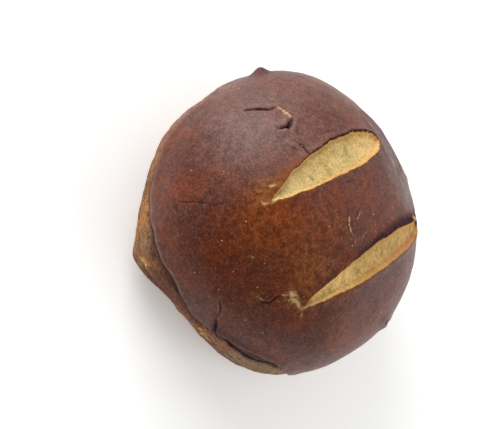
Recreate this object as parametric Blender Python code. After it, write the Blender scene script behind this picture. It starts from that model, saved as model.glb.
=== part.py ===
"""A round pretzel roll: a dark crust over a risen ball of dough, two long slashes that opened in the oven, a
crust that folds over a paler side band all round the flat base, and a tear under the crust's lower edge.

The roll is one solid. It stands on its flat base with its height along +Z and the origin in the middle of
the base. The slashes run roughly along Y. Azimuths turn anticlockwise from +X, seen from above, and lifts
rise from the plane of the waist. Both are in degrees and seen from the middle of the waist.
"""

import bmesh
import bpy
import numpy as np
from mathutils import Vector

MM = 0.001

# Driving sizes of the risen dough
MEAN_RADIUS = 46.2 * MM
HEIGHT = 52 * MM
WAIST_HEIGHT = 17 * MM
DOME_FULLNESS = 2.15
UNDERSIDE_FULLNESS = 3.4
UNDERSIDE_DROP = 20.5 * MM
BASE_ROUNDING = 1.2 * MM

# Swells and hollows of the outline seen from above: (azimuth, spread, rise)
GIRTH_SWELLS = (
    (40, 24, 1.9 * MM),
    (68, 16, 1.3 * MM),
    (110, 14, -1.2 * MM),
    (163, 16, 3.8 * MM),
    (203, 12, -0.8 * MM),
    (238, 18, -1.7 * MM),
    (301, 18, -3.9 * MM),
    (350, 11, 2 * MM),
)

# The foot of the side band against the crust above it, mostly where the roll parted from its neighbour
FOOT_SWELLS = (
    (90, 60, -1.2 * MM),
    (258, 11, 1.7 * MM),
    (273, 7, 2.7 * MM),
    (292, 14, -0.6 * MM),
    (332, 12, 0.8 * MM),
    (343, 4, 0.5 * MM),
)

# Broad unevenness of the dough: (radians per metre along X, Y and Z), phase, rise
DOUGH_WAVES = (
    ((76, 34, 48), 0.7, 0.45 * MM),
    ((-42, 104, 26), 2.1, 0.35 * MM),
    ((122, -66, 84), 4.4, 0.25 * MM),
)

# The crust's lower edge, where it folds over the side band: (azimuth, height)
FOLD_LINE = (
    (20, 11 * MM),
    (60, 9 * MM),
    (100, 10 * MM),
    (140, 12 * MM),
    (170, 14 * MM),
    (190, 16.5 * MM),
    (198, 20 * MM),
    (205, 23.5 * MM),
    (212, 21.3 * MM),
    (219, 18.3 * MM),
    (228, 16.4 * MM),
    (236, 14.7 * MM),
    (246, 15 * MM),
    (255, 17 * MM),
    (263, 19.6 * MM),
    (272, 20.6 * MM),
    (281, 22.3 * MM),
    (290, 20.4 * MM),
    (299, 18 * MM),
    (304, 19 * MM),
    (308, 21.8 * MM),
    (314, 22.5 * MM),
    (321, 24 * MM),
    (329, 25.5 * MM),
    (337, 25.3 * MM),
    (346, 17 * MM),
    (358, 12 * MM),
)
FOLD_STEP = 0.8 * MM
FOLD_TUCK = 1.7 * MM
FOLD_TUCK_REACH = 6 * MM
FOLD_LIP = 0.6 * MM
FOLD_LIP_REACH = 3 * MM
# Where the foot stands out fully, as a share of the way down from fold to base
FOOT_FULL_AT = 0.7
# The fold works on the sides only, from no effect to full effect at these shares of the mean radius
SIDE_FROM = 0.3
SIDE_FULL_AT = 0.95

# The slashes, laid out seen from above: where the tip and the blunt end are, the crumb's half width at the widest
# place and how far along it is, how far the middle line bends towards -X, how deep the crumb lies at the foot of
# the slash's walls and in its middle, how far outside the crumb the crust starts to bend down on the -X side, and
# how far inside the crumb's edge the walls on the -X side and on the +X side end
SLASHES = (
    {
        "tip": (-6.5 * MM, -21.4 * MM),
        "end": (-17.5 * MM, 24.9 * MM),
        "half_width": 5.4 * MM,
        "widest": 0.63,
        "bend": 2.1 * MM,
        "foot_depth": 0.9 * MM,
        "middle_depth": 1.5 * MM,
        "overhang": 0.2 * MM,
        "walls": (0.5 * MM, 1 * MM),
    },
    {
        "tip": (24.5 * MM, -15.6 * MM),
        "end": (11.4 * MM, 37.8 * MM),
        "half_width": 3.5 * MM,
        "widest": 0.57,
        "bend": 1.3 * MM,
        "foot_depth": 0.9 * MM,
        "middle_depth": 1.3 * MM,
        "overhang": 1.1 * MM,
        "walls": (0.2 * MM, 0.9 * MM),
    },
)
SLASH_BLUNTNESS = 0.46
SLASH_END_MARGIN = 0.001
SLASH_LIP = 0.55 * MM
SLASH_LIP_REACH = 1.6 * MM

# Cracks in the crust: places as (azimuth, lift), half width, depth, and how far the crust curls up beside them
CRACKS = (
    {
        "path": ((306.5, 4), (308.5, 5.5), (311, 6), (317.5, 7.2), (325, 9.3), (333, 10.4), (337, 10)),
        "half_width": 1.1 * MM,
        "depth": 2.6 * MM,
        "curl": 0.4 * MM,
    },
    {
        "path": ((298, 19), (301, 14.5), (305.5, 10.8), (308, 6.5)),
        "half_width": 0.5 * MM,
        "depth": 0.6 * MM,
        "curl": 0.2 * MM,
    },
    {
        "path": ((204.5, 28.9), (200.4, 33.1), (197.5, 36), (193, 35.7)),
        "half_width": 0.5 * MM,
        "depth": 0.7 * MM,
        "curl": 0.4 * MM,
    },
    {
        "path": ((201.9, 45.3), (193.4, 44.7), (196.9, 49.6)),
        "half_width": 0.9 * MM,
        "depth": 0.8 * MM,
        "curl": 0.3 * MM,
    },
    {
        "path": ((199.5, 53.5), (200.1, 56.2), (198.4, 61.8)),
        "half_width": 0.5 * MM,
        "depth": 0.7 * MM,
        "curl": 0.3 * MM,
    },
    {
        "path": ((312.4, 43.6), (318, 43), (323.5, 41.9)),
        "half_width": 0.9 * MM,
        "depth": 0.5 * MM,
        "curl": 0.1 * MM,
    },
)
CURL_REACH = 1.4 * MM
# The depth of a crack's ends as a share of its middle's
CRACK_END_DEPTH = 0.2

# Small lumps of the crust: (azimuth, lift, spread, rise)
LUMPS = (
    (177, 8.5, 2.4 * MM, 2.1 * MM),
    (96, 20, 2.4 * MM, 0.7 * MM),
    (268, -14, 2.6 * MM, 0.8 * MM),
)

# The mesh: the ball's subdivisions, how near a slash or fold and how near a crack its faces are split again, and
# the share of the faces left once flat stretches are joined
BALL_SUBDIVISIONS = 6
SPLIT_NEAR_LINE = 1.6 * MM
SPLIT_NEAR_CRACK = 0.8 * MM
FACES_KEPT = 0.3
# How far a face's corner may turn to reach a line, and the small turn used to measure slopes, in radians
SETTLE_WITHIN = 0.0055
SLOPE_TURN = 0.0001

CRUST_COLOUR = (0.12, 0.045, 0.028, 1)
CRUST_ROUGHNESS = 0.42


def clear_scene():
    for thing in list(bpy.data.objects):
        bpy.data.objects.remove(thing)


def unit(vectors):
    return vectors / np.linalg.norm(vectors, axis=1, keepdims=True)


def smooth_step(value):
    """0 below 0, 1 above 1, and an S curve between them."""
    t = np.clip(value, 0, 1)
    return t * t * (3 - 2 * t)


def bell(distance, spread):
    """1 at no distance, falling to nothing a few spreads away."""
    return np.exp(-((distance / spread) ** 2))


def azimuth_of(directions):
    return np.degrees(np.arctan2(directions[:, 1], directions[:, 0]))


def direction_of(azimuth, lift):
    turn, rise = np.radians(azimuth), np.radians(lift)
    return np.array([np.cos(turn) * np.cos(rise), np.sin(turn) * np.cos(rise), np.sin(rise)])


def swell(azimuth, swells):
    """The sum of the rises of bell-shaped swells round the outline."""
    total = np.zeros_like(azimuth)
    for middle, spread, rise in swells:
        turn = (azimuth - middle + 180) % 360 - 180
        total += rise * np.exp(-0.5 * (turn / spread) ** 2)
    return total


def fold_height(azimuth):
    """The height of the crust's lower edge, eased from place to place round the roll."""
    places = np.array([place for place, _ in FOLD_LINE], float)
    heights = np.array([height for _, height in FOLD_LINE])
    turn = azimuth % 360
    after = np.searchsorted(places, turn) % len(places)
    before = after - 1
    span = (places[after] - places[before]) % 360
    share = smooth_step(((turn - places[before]) % 360) / span)
    return heights[before] + (heights[after] - heights[before]) * share


def smooth_dough(directions):
    """The points of the dough without the relief of its crust, and which way is outward there."""
    flat = np.hypot(directions[:, 0], directions[:, 1])
    rise = directions[:, 2]
    girth = MEAN_RADIUS + swell(azimuth_of(directions), GIRTH_SWELLS)
    reach = np.where(rise >= 0, HEIGHT - WAIST_HEIGHT, UNDERSIDE_DROP)
    power = np.where(rise >= 0, DOME_FULLNESS, UNDERSIDE_FULLNESS)
    scale = ((flat / girth) ** power + (np.abs(rise) / reach) ** power) ** (-1 / power)
    points = directions * scale[:, None]
    sideways = (flat * scale / girth) ** (power - 1) / girth / np.maximum(flat, 1e-9)
    upward = np.sign(rise) * (np.abs(rise) * scale / reach) ** (power - 1) / reach
    outward = unit(np.stack([directions[:, 0] * sideways, directions[:, 1] * sideways, upward], axis=1))
    for turning, phase, height in DOUGH_WAVES:
        points = points + outward * (height * np.sin(points @ np.array(turning, float) + phase))[:, None]
    points[:, 2] += WAIST_HEIGHT
    return points, outward


def slash_places(points, slash):
    """How far outside the slash's edge each point is (below 0 inside), which side of its middle line it is on
    (below 0 towards -X), and the slash's half width there, all seen from above."""
    tip, end = np.array(slash["tip"]), np.array(slash["end"])
    length = np.linalg.norm(end - tip)
    along = (end - tip) / length
    across = np.array([along[1], -along[0]])
    offset = points[:, :2] - tip
    share = offset @ along / length
    within = np.clip(share, SLASH_END_MARGIN, 1 - SLASH_END_MARGIN)
    side = offset @ across + slash["bend"] * 4 * within * (1 - within)
    widest = slash["widest"]
    sharpness = SLASH_BLUNTNESS * widest / (1 - widest)
    leaf = (within / widest) ** sharpness * ((1 - within) / (1 - widest)) ** SLASH_BLUNTNESS
    half = slash["half_width"] * leaf
    slant = half * (sharpness / within - SLASH_BLUNTNESS / (1 - within)) / length
    beside = (np.abs(side) - half) / np.sqrt(1 + slant**2)
    beyond = np.abs(share - within) * length
    edge = np.where(beyond > 0, np.hypot(np.maximum(beside, 0), beyond), beside)
    return edge, side, half


def wall_share(points, slash):
    """How far down the slash's wall each point is: 0 at the crust's edge and 1 at the wall's foot."""
    edge, side, half = slash_places(points, slash)
    overhang = slash["overhang"] * half / slash["half_width"]
    steep = (overhang - edge) / (overhang + slash["walls"][0])
    gentle = -edge / slash["walls"][1]
    return np.where(side < 0, steep, gentle)


def path_distance(points, path):
    """How far each point is from a crack's path over the dough, and how far along the path, from 0 to 1."""
    places, _ = smooth_dough(np.array([direction_of(*place) for place in path]))
    lengths = np.linalg.norm(np.diff(places, axis=0), axis=1)
    marks = np.concatenate([[0], np.cumsum(lengths)]) / lengths.sum()
    nearest = np.full(len(points), np.inf)
    share = np.zeros(len(points))
    for index, length in enumerate(lengths):
        way = (places[index + 1] - places[index]) / length
        along = np.clip((points - places[index]) @ way, 0, length)
        distance = np.linalg.norm(points - places[index] - along[:, None] * way, axis=1)
        here = marks[index] + along / length * (marks[index + 1] - marks[index])
        share = np.where(distance < nearest, here, share)
        nearest = np.minimum(nearest, distance)
    return nearest, share


def slash_relief(points, upper):
    """Rise of the crust beside the slashes and fall of the crumb inside them."""
    rise = np.zeros(len(points))
    for slash in SLASHES:
        edge, _, half = slash_places(points, slash)
        inside = np.clip(wall_share(points, slash), 0, 1)
        inward = np.clip(-edge / np.maximum(half, 1e-6), 0, 1)
        deepening = (slash["middle_depth"] - slash["foot_depth"]) * np.sin(inward * np.pi / 2)
        rise -= inside * (slash["foot_depth"] + deepening)
        rise += (1 - inside) * SLASH_LIP * bell(np.maximum(edge, 0), SLASH_LIP_REACH)
    return np.where(upper, rise, 0)


def crack_relief(points):
    """Fall of the crust in its cracks and the curl of their sides."""
    rise = np.zeros(len(points))
    for crack in CRACKS:
        distance, share = path_distance(points, crack["path"])
        opening = np.sqrt(np.clip(4 * share * (1 - share), 0, 1))
        deepness = CRACK_END_DEPTH + (1 - CRACK_END_DEPTH) * opening
        rise -= crack["depth"] * deepness * bell(distance, crack["half_width"])
        rise += crack["curl"] * bell(distance - CURL_REACH, CURL_REACH)
    return rise


def lump_relief(points):
    rise = np.zeros(len(points))
    for azimuth, lift, spread, height in LUMPS:
        place, _ = smooth_dough(direction_of(azimuth, lift)[None, :])
        rise += height * bell(np.linalg.norm(points - place, axis=1), spread)
    return rise


def fold_shift(points, azimuth):
    """How far the side moves out: the crust swells over its lower edge, and the band below it is tucked in."""
    fold = fold_height(azimuth)
    above = points[:, 2] - fold
    below = np.clip(-above / FOLD_STEP, 0, 1)
    lip = (1 - below) * FOLD_LIP * bell(np.maximum(above, 0), FOLD_LIP_REACH)
    tuck = FOLD_TUCK * (1 - smooth_step(-above / FOLD_TUCK_REACH))
    foot = swell(azimuth, FOOT_SWELLS) * smooth_step(-above / (fold * FOOT_FULL_AT))
    return lip - below * (tuck - foot)


def flat_bottom(height):
    """Heights with those below the base brought up to it, and a rounded turn between."""
    turn = BASE_ROUNDING * np.clip(0.5 + height / (2 * BASE_ROUNDING), 0, 1) ** 2
    return np.where(height > BASE_ROUNDING, height, turn)


def roll_points(directions):
    """The finished surface in each direction from the middle of the waist."""
    points, outward = smooth_dough(directions)
    azimuth = azimuth_of(directions)
    relief = slash_relief(points, directions[:, 2] > 0) + crack_relief(points) + lump_relief(points)
    sideways = np.stack([np.cos(np.radians(azimuth)), np.sin(np.radians(azimuth)), 0 * azimuth], axis=1)
    from_middle = np.hypot(points[:, 0], points[:, 1]) / MEAN_RADIUS
    on_side = smooth_step((from_middle - SIDE_FROM) / (SIDE_FULL_AT - SIDE_FROM))
    shift = fold_shift(points, azimuth) * on_side
    made = points + outward * relief[:, None] + sideways * shift[:, None]
    made[:, 2] = flat_bottom(made[:, 2])
    return made


def fold_field(directions):
    """How far above the fold the dough is in each direction."""
    return smooth_dough(directions)[0][:, 2] - fold_height(azimuth_of(directions))


def crack_field(directions, crack):
    return path_distance(smooth_dough(directions)[0], crack["path"])[0]


def slash_field(directions, slash):
    """How far down the slash's wall each direction's point is."""
    return wall_share(smooth_dough(directions)[0], slash)


def nearest_crack(directions):
    """How far each direction's point is from the nearest crack."""
    return np.min([crack_field(directions, crack) for crack in CRACKS], axis=0)


def nearest_line(directions):
    """How far each direction's point is from the nearest slash edge, crack or fold."""
    points, _ = smooth_dough(directions)
    nearest = np.minimum(np.abs(fold_field(directions)), nearest_crack(directions))
    for slash in SLASHES:
        edge, _, _ = slash_places(points, slash)
        nearest = np.minimum(nearest, np.where(directions[:, 2] > 0, np.abs(edge), np.inf))
    return nearest


def split_near(ball, distance, reach):
    """Each face of the ball that is near enough to a line is split into four."""
    middles = np.array([face.calc_center_median().normalized() for face in ball.faces])
    near = distance(middles) < reach
    edges = {edge for face, split in zip(ball.faces, near) if split for edge in face.edges}
    bmesh.ops.subdivide_edges(ball, edges=list(edges), cuts=1)
    bmesh.ops.triangulate(ball, faces=ball.faces[:])


def directions_of(ball):
    return unit(np.array([vertex.co[:] for vertex in ball.verts]))


def settle(directions, field, level):
    """Directions near the line where a field has a level are moved onto it. Also says which ones were moved."""
    value = field(directions)
    first = unit(np.cross(directions, (0.3, 0.5, 0.8)))
    second = np.cross(directions, first)
    slope_first = (field(unit(directions + SLOPE_TURN * first)) - value) / SLOPE_TURN
    slope_second = (field(unit(directions + SLOPE_TURN * second)) - value) / SLOPE_TURN
    steepness = np.maximum(np.hypot(slope_first, slope_second), 1e-9)
    missing = (level - value) / steepness
    close = np.abs(missing) < SETTLE_WITHIN
    turn = np.where(close, missing / steepness, 0)[:, None]
    return unit(directions + turn * (slope_first[:, None] * first + slope_second[:, None] * second)), close


def cut_along(ball, field, level):
    """Edges of the ball's faces are made to run along the line where a field has a level."""
    directions, settled = settle(directions_of(ball), field, level)
    for vertex, direction in zip(ball.verts, directions):
        vertex.co = Vector(direction)
    value = np.where(settled, 0, field(directions) - level)
    ball.verts.index_update()
    ends = np.array([(edge.verts[0].index, edge.verts[1].index) for edge in ball.edges])
    before, after = value[ends[:, 0]], value[ends[:, 1]]
    ball.verts.ensure_lookup_table()
    ball.edges.ensure_lookup_table()
    on_line = [ball.verts[index] for index in np.flatnonzero(settled)]
    crossing = np.flatnonzero(before * after < 0)
    shares = before[crossing] / (before[crossing] - after[crossing])
    for edge, share in zip([ball.edges[index] for index in crossing], shares):
        _, vertex = bmesh.utils.edge_split(edge, edge.verts[0], share)
        on_line.append(vertex)
    bmesh.ops.connect_verts(ball, verts=on_line)
    bmesh.ops.triangulate(ball, faces=[face for face in ball.faces if len(face.verts) > 3])


def unit_ball():
    """A ball of unit radius with finer faces near the roll's details, and edges along its fold and slashes."""
    ball = bmesh.new()
    bmesh.ops.create_icosphere(ball, subdivisions=BALL_SUBDIVISIONS, radius=1)
    split_near(ball, nearest_line, SPLIT_NEAR_LINE)
    split_near(ball, nearest_crack, SPLIT_NEAR_CRACK)
    for level in (0, -FOLD_STEP):
        cut_along(ball, fold_field, level)
    for slash in SLASHES:
        for level in (0, 1):
            cut_along(ball, lambda ways: slash_field(ways, slash), level)
    return ball


def crust_material():
    material = bpy.data.materials.new("lye_crust")
    material.use_nodes = True
    shader = material.node_tree.nodes["Principled BSDF"]
    shader.inputs["Base Color"].default_value = CRUST_COLOUR
    shader.inputs["Roughness"].default_value = CRUST_ROUGHNESS
    shader.inputs["Metallic"].default_value = 0
    return material


def make_roll(collection):
    ball = unit_ball()
    for vertex, place in zip(ball.verts, roll_points(directions_of(ball))):
        vertex.co = Vector(place)
    mesh = bpy.data.meshes.new("roll")
    ball.to_mesh(mesh)
    ball.free()
    mesh.shade_smooth()
    mesh.materials.append(crust_material())
    roll = bpy.data.objects.new("roll", mesh)
    collection.objects.link(roll)
    simplify = roll.modifiers.new("simplify", "DECIMATE")
    simplify.ratio = FACES_KEPT


def main():
    clear_scene()
    collection = bpy.data.collections.new("pretzel_roll")
    bpy.context.scene.collection.children.link(collection)
    make_roll(collection)


main()
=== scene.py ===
"""The looks of a round pretzel roll: glossy dark crust, pale crumb in the open slashes, and a tan side band.

The roll's surface is worked out by the same rules as its solid, on a much finer mesh and with the crust's
fine relief. Fields saved on the mesh, such as how far a point is inside a slash, tell the material where the
crust ends. Azimuths turn anticlockwise from +X, seen from above, and lifts rise from the plane of the waist.
Both are in degrees and seen from the middle of the waist.
"""
import itertools
from math import cos, radians, sin

import bmesh
import bpy
import numpy as np
from mathutils import Matrix, Vector


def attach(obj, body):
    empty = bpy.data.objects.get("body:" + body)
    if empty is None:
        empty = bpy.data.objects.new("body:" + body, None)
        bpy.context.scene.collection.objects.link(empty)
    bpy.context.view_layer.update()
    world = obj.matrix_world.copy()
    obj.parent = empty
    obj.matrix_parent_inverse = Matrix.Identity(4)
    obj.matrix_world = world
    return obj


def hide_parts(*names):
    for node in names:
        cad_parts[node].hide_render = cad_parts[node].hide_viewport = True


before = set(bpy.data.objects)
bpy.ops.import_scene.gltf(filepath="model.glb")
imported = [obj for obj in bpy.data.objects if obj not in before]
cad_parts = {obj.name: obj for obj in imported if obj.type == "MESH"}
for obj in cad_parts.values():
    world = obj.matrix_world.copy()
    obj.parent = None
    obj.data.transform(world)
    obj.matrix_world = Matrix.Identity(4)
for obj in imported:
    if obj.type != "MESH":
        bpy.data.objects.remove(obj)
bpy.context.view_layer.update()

MM = 0.001

# The risen dough, as in the solid
MEAN_RADIUS = 46.2 * MM
HEIGHT = 52 * MM
WAIST_HEIGHT = 17 * MM
DOME_FULLNESS = 2.15
UNDERSIDE_FULLNESS = 3.4
UNDERSIDE_DROP = 20.5 * MM
BASE_ROUNDING = 1.2 * MM

# Swells and hollows of the outline seen from above: (azimuth, spread, rise)
GIRTH_SWELLS = (
    (40, 24, 1.9 * MM), (68, 16, 1.3 * MM), (110, 14, -1.2 * MM), (163, 16, 3.8 * MM),
    (203, 12, -0.8 * MM), (238, 18, -1.7 * MM), (301, 18, -3.9 * MM), (350, 11, 2 * MM),
)

# The foot of the side band against the crust above it
FOOT_SWELLS = (
    (90, 60, -1.2 * MM), (258, 11, 1.7 * MM), (273, 7, 2.7 * MM), (292, 14, -0.6 * MM),
    (332, 12, 0.8 * MM), (343, 4, 0.5 * MM),
)

# Broad unevenness of the dough: (radians per metre along X, Y and Z), phase, rise
DOUGH_WAVES = (
    ((76, 34, 48), 0.7, 0.45 * MM),
    ((-42, 104, 26), 2.1, 0.35 * MM),
    ((122, -66, 84), 4.4, 0.25 * MM),
)

# The crust's lower edge, where it folds over the side band: (azimuth, height in mm)
FOLD_LINE = (
    (20, 11), (60, 9), (100, 10), (140, 12), (170, 14), (190, 16.5), (198, 20), (205, 23.5),
    (212, 21.3), (219, 18.3), (228, 16.4), (236, 14.7), (246, 15), (255, 17), (263, 19.6), (272, 20.6),
    (281, 22.3), (290, 20.4), (299, 18), (304, 19), (308, 21.8), (314, 22.5), (321, 24), (329, 25.5),
    (337, 25), (343, 21.5), (350, 16), (358, 12),
)
FOLD_STEP = 0.6 * MM
FOLD_TUCK = 1.7 * MM
FOLD_TUCK_REACH = 6 * MM
# Where the tear ends and the fold closes, so that the band isn't tucked in: (azimuth, spread, share)
FOLD_CLOSING = ((349, 5, 0.9),)
FOLD_LIP = 0.6 * MM
FOLD_LIP_REACH = 3 * MM
# Where the foot stands out fully, as a share of the way down from fold to base
FOOT_FULL_AT = 0.7
# The fold works on the sides only, from no effect to full effect at these shares of the mean radius
SIDE_FROM = 0.3
SIDE_FULL_AT = 0.95

# The slashes, laid out seen from above: where the tip and the blunt end are, the crumb's half width at the
# widest place, how pointed the tip is, how far along the widest place is, how far the middle line bends
# towards -X, how deep the crumb lies at the foot of the slash's walls and in its middle, how far outside the
# crumb the crust starts to bend down on the -X side, and how far inside the crumb's edge the walls on the -X
# and the +X side end. Last, the crust's colouring: how wide the orange halo is beside the tip, how strong it
# is away from the tip, and how wide the painted shadow is above the overhang
SLASHES = (
    {
        "tip": (-6.5 * MM, -21.4 * MM),
        "end": (-17.5 * MM, 24.9 * MM),
        "half_width": 5.2 * MM,
        "tip_sharpness": 0.95,
        "widest": 0.63,
        "bend": 1.9 * MM,
        "foot_depth": 0.9 * MM,
        "middle_depth": 1.5 * MM,
        "overhang": 0.2 * MM,
        "walls": (0.5 * MM, 1 * MM),
        "halo": 2.6 * MM,
        "halo_strength": 0.4,
        "shade": 0.4 * MM,
    },
    {
        "tip": (24.5 * MM, -15.6 * MM),
        "end": (11.4 * MM, 37.8 * MM),
        "half_width": 3.8 * MM,
        "tip_sharpness": 1,
        "widest": 0.57,
        "bend": 1.1 * MM,
        "foot_depth": 0.9 * MM,
        "middle_depth": 1.3 * MM,
        "overhang": 1.1 * MM,
        "walls": (0.2 * MM, 0.9 * MM),
        "halo": 0,
        "halo_strength": 0.1,
        "shade": 3.3 * MM,
    },
)
# Between which places along the second slash its wall on the +X side is salmon
SALMON_FROM = 0.55
SALMON_TO = 0.98
# From which share of the way across the salmon shows, and over which shares it fades in across and along
SALMON_ACROSS = 0.35
SALMON_ACROSS_FADE = 0.3
SALMON_ALONG_FADE = 0.08
# The halo's width away from the tip, where along a slash it has faded, and where along it the painted
# shadow above the overhang starts, is fully dark and is fully wide
HALO_REACH = 0.6 * MM
HALO_FADED_AT = 0.55
SHADE_FROM = 0.12
SHADE_DARK_AT = 0.42
SHADE_FULL_AT = 0.62
# How many of its widths away the painted shadow has faded, and how far its edge is blurred
SHADE_FADED_AT = 1.3
SHADE_BLUR = 0.3 * MM
# The power by which a slash's width falls off towards its blunt end
SLASH_BLUNTNESS = 0.46
SLASH_END_MARGIN = 0.001
SLASH_LIP = 0.55 * MM
SLASH_LIP_REACH = 1.6 * MM
# How deep a slash is at its ends as a share, and at which share of its full width it is fully deep
SLASH_END_DEPTH = 0.35
SLASH_FULL_AT = 0.85

# Open cracks with painted shadow at their bottoms: places as (azimuth, lift), half width, depth and curl of
# the crust beside it in mm, and how dark the painted shadow shows
CRACKS = (
    (((310.5, 6), (313, 6.3), (317.5, 7.2), (325, 9.3), (333, 10.4), (337, 10)), 0.9, 2, 0.4, 1),
    (((309, 5.5), (313, 4), (318, 3.3), (323.5, 3.8), (329.5, 4.6), (334, 5.6), (338, 7)), 1, 0.8, 0.3, 1),
    (
        ((304, 12), (305.5, 9.2), (307, 7.4), (309.5, 6.7), (312.5, 6.9), (317, 7.4), (321, 8.2)),
        0.55, 0.6, 0.05, 1,
    ),
    (((295, 20), (297.5, 18.5), (301, 15.5), (304.5, 10.5), (307.5, 7)), 0.28, 0.5, 0.2, 0.75),
    (
        ((204, 29), (201.5, 31), (200, 32), (198, 34), (197, 35.5), (195, 36.3), (192.5, 36)),
        0.32, 0.8, 0.25, 1,
    ),
    (((191, 46), (194, 46.8), (197.5, 45.8), (202, 44.5)), 0.36, 0.8, 0.3, 1),
    (((190, 44.8), (192, 45.3), (195, 46.2), (197, 48)), 0.62, 0.7, 0.1, 1),
    (((200, 53.5), (200.5, 55), (198.5, 57), (198.5, 58.5), (200, 60.5), (200, 61.8)), 0.3, 0.7, 0.25, 1),
    (((206.5, 55), (206.5, 57.5)), 0.25, 0.25, 0.1, 0.7),
    (((251, 14.5), (252, 19), (253, 23), (254, 27), (254.5, 29.5)), 0.2, 0.22, 0.2, 0.5),
    (((306, 33), (308, 34), (310, 35), (311, 37), (311, 38.5), (311.5, 41)), 0.28, 0.5, 0.2, 1),
    (((175, 55), (171, 54.5), (166.5, 54), (162.5, 54.5)), 0.25, 0.2, 0.1, 0.6),
    (
        ((135, 31.5), (130.5, 31), (124, 30.5), (119, 31.5), (113, 33), (107, 34.5), (101, 37)),
        0.4, 0.45, 0.3, 0.75,
    ),
    (((31, 16), (27, 20), (25.5, 25)), 0.35, 0.5, 0.35, 1),
    (((69, 81), (50, 82.5), (20, 83)), 0.22, 0.12, 0.1, 0.5),
)
CURL_REACH = 1.2 * MM
CRACK_END_DEPTH = 0.2

# Pale torn marks where crumb shows through: places, half width and rise in mm, and how pale it shows
TORN_MARKS = (
    (((192, 36.5), (191.5, 38), (190.5, 40), (190, 44)), 0.55, 0.3, 1),
    (((255.5, 54), (253.5, 55.5), (251, 57.5)), 0.5, 0.25, 1),
    (((253, 50), (255.5, 51.5), (255.5, 54)), 0.5, 0.15, 0.75),
    (((244, 53), (242.5, 54.5), (241.5, 56)), 0.4, 0.15, 0.7),
    (((247.5, 50.5), (248.5, 49)), 0.3, 0.15, 0.55),
    (((249, 58), (247.5, 61), (245, 65)), 0.35, 0.15, 0.6),
    (((315, 45.6), (317.5, 44), (319, 42.4), (321, 42)), 1.25, -0.2, 1),
    (((319.5, 42.6), (323, 42), (326, 41)), 0.6, 0.1, 1),
    (((325.5, 41), (327.5, 40), (329, 36)), 0.25, 0.1, 0.7),
    (((336, 48), (330.5, 45), (327, 42.5), (325.5, 41)), 0.4, 0.15, 0.95),
    (((311, 41.5), (313.5, 42), (315, 43.5)), 0.3, 0.1, 0.7),
    (((302, 33.5), (305, 34.5), (308.5, 34.5)), 0.3, 0.1, 0.6),
    (((76, 79), (62, 80.5), (33, 81)), 0.26, 0.1, 0.7),
    (((18.5, 85.5), (4, 81.5), (4, 77.5)), 0.3, 0.12, 0.85),
    (((4, 77.5), (8.5, 73), (4, 70), (0, 70)), 0.22, 0.1, 0.6),
    (((8.5, 73), (20, 72.5), (35, 72.5)), 0.26, 0.1, 0.8),
    (((294, 20), (296.5, 18.5), (300.5, 14.5)), 0.22, 0.1, 0.55),
    (((303, 13.5), (306, 9)), 0.22, 0.1, 0.6),
    (((250, 15), (251.5, 20), (252.5, 24)), 0.2, 0.1, 0.35),
    (((305, -4.4), (307, -4.6), (309, -5.4), (311, -5.2), (314, -6.5)), 0.8, 0.5, 1),
    (((270, -7), (273.5, -4.3), (277, -3.8)), 0.7, 0.6, 0.8),
    (((305, 1), (309, -1.5), (314, -2), (320, -1)), 0.5, 0.5, 0.45),
    (((311, 1.5), (315, 0.4), (320, 0.5)), 0.35, 0.4, 0.4),
    (((346, 50), (341, 47.5), (337, 46)), 0.35, 0.1, 0.5),
    (((77, 39), (74.5, 37.5), (71.5, 38.5)), 0.8, 0.1, 0.8),
)

# Small lumps and bubbles of the crust: (azimuth, lift, spread in mm, rise in mm)
LUMPS = (
    (74.5, 37.5, 0.9, 0.5), (248.5, 49, 0.6, 0.3), (242, 49, 0.6, 0.25), (239.5, 53, 0.7, 0.3),
    (243.5, 55.5, 0.6, 0.3), (248, 60, 0.6, 0.25), (247, 62, 0.6, 0.25), (245, 65, 0.7, 0.25),
    (274, -4, 1.3, 0.9), (308, -7.5, 1.3, 0.9), (177, 8.5, 2.4, 2.1), (96, 20, 2.4, 0.7),
    (268, -14, 2.6, 0.8), (75, 38, 1.6, 0.6), (27, 18, 2, 0.5),
)

# How far lines stray from their even course, and over what lengths: (stray, length)
STRAYS = ((0.35 * MM, 3.2 * MM), (0.14 * MM, 1.1 * MM))
# Fine relief: (rise, length) of the crust's dimples, the crumb's lumps and the band's layers
CRUST_DIMPLES = ((0.14 * MM, 5.5 * MM), (0.06 * MM, 2.1 * MM), (0.03 * MM, 0.9 * MM))
CRUMB_LUMPS = ((0.13 * MM, 2.4 * MM), (0.07 * MM, 0.9 * MM))
CRUMB_PORE = 0.12 * MM
CRUMB_PORE_LENGTH = 0.8 * MM
BAND_LAYERS = ((0.3 * MM, 2.2 * MM), (0.16 * MM, 0.9 * MM))
BAND_STRETCH = 3
# From which random value on the crumb has a pore, and how much higher the value is where it is fully deep
PORE_FROM = 0.3
PORE_SPAN = 0.4
# Over what lengths one relief turns into the next, and the band's relief fades above the base
RELIEF_BLEND = 0.5 * MM
BASE_BLEND = 3 * MM
# Seeds of the random values
STRAY_SEEDS = (11, 23, 37)
DIMPLE_SEED = 51
CRUMB_SEED = 61
PORE_SEED = 71
BAND_SEED = 81
GRAIN_SEED = 5

# The mesh: the ball's subdivisions, above which rise of direction its faces are split once more, as the base
# is flat, and how near a detail they are split again once and twice
BALL_SUBDIVISIONS = 6
BASE_BELOW = -0.37
SPLIT_ONCE = 1 * MM
SPLIT_TWICE = 0.4 * MM
# How far a face's corner may turn to reach a line, and the small turn used to measure slopes, in radians
SETTLE_WITHIN = 0.0013
SLOPE_TURN = 0.0001

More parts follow.
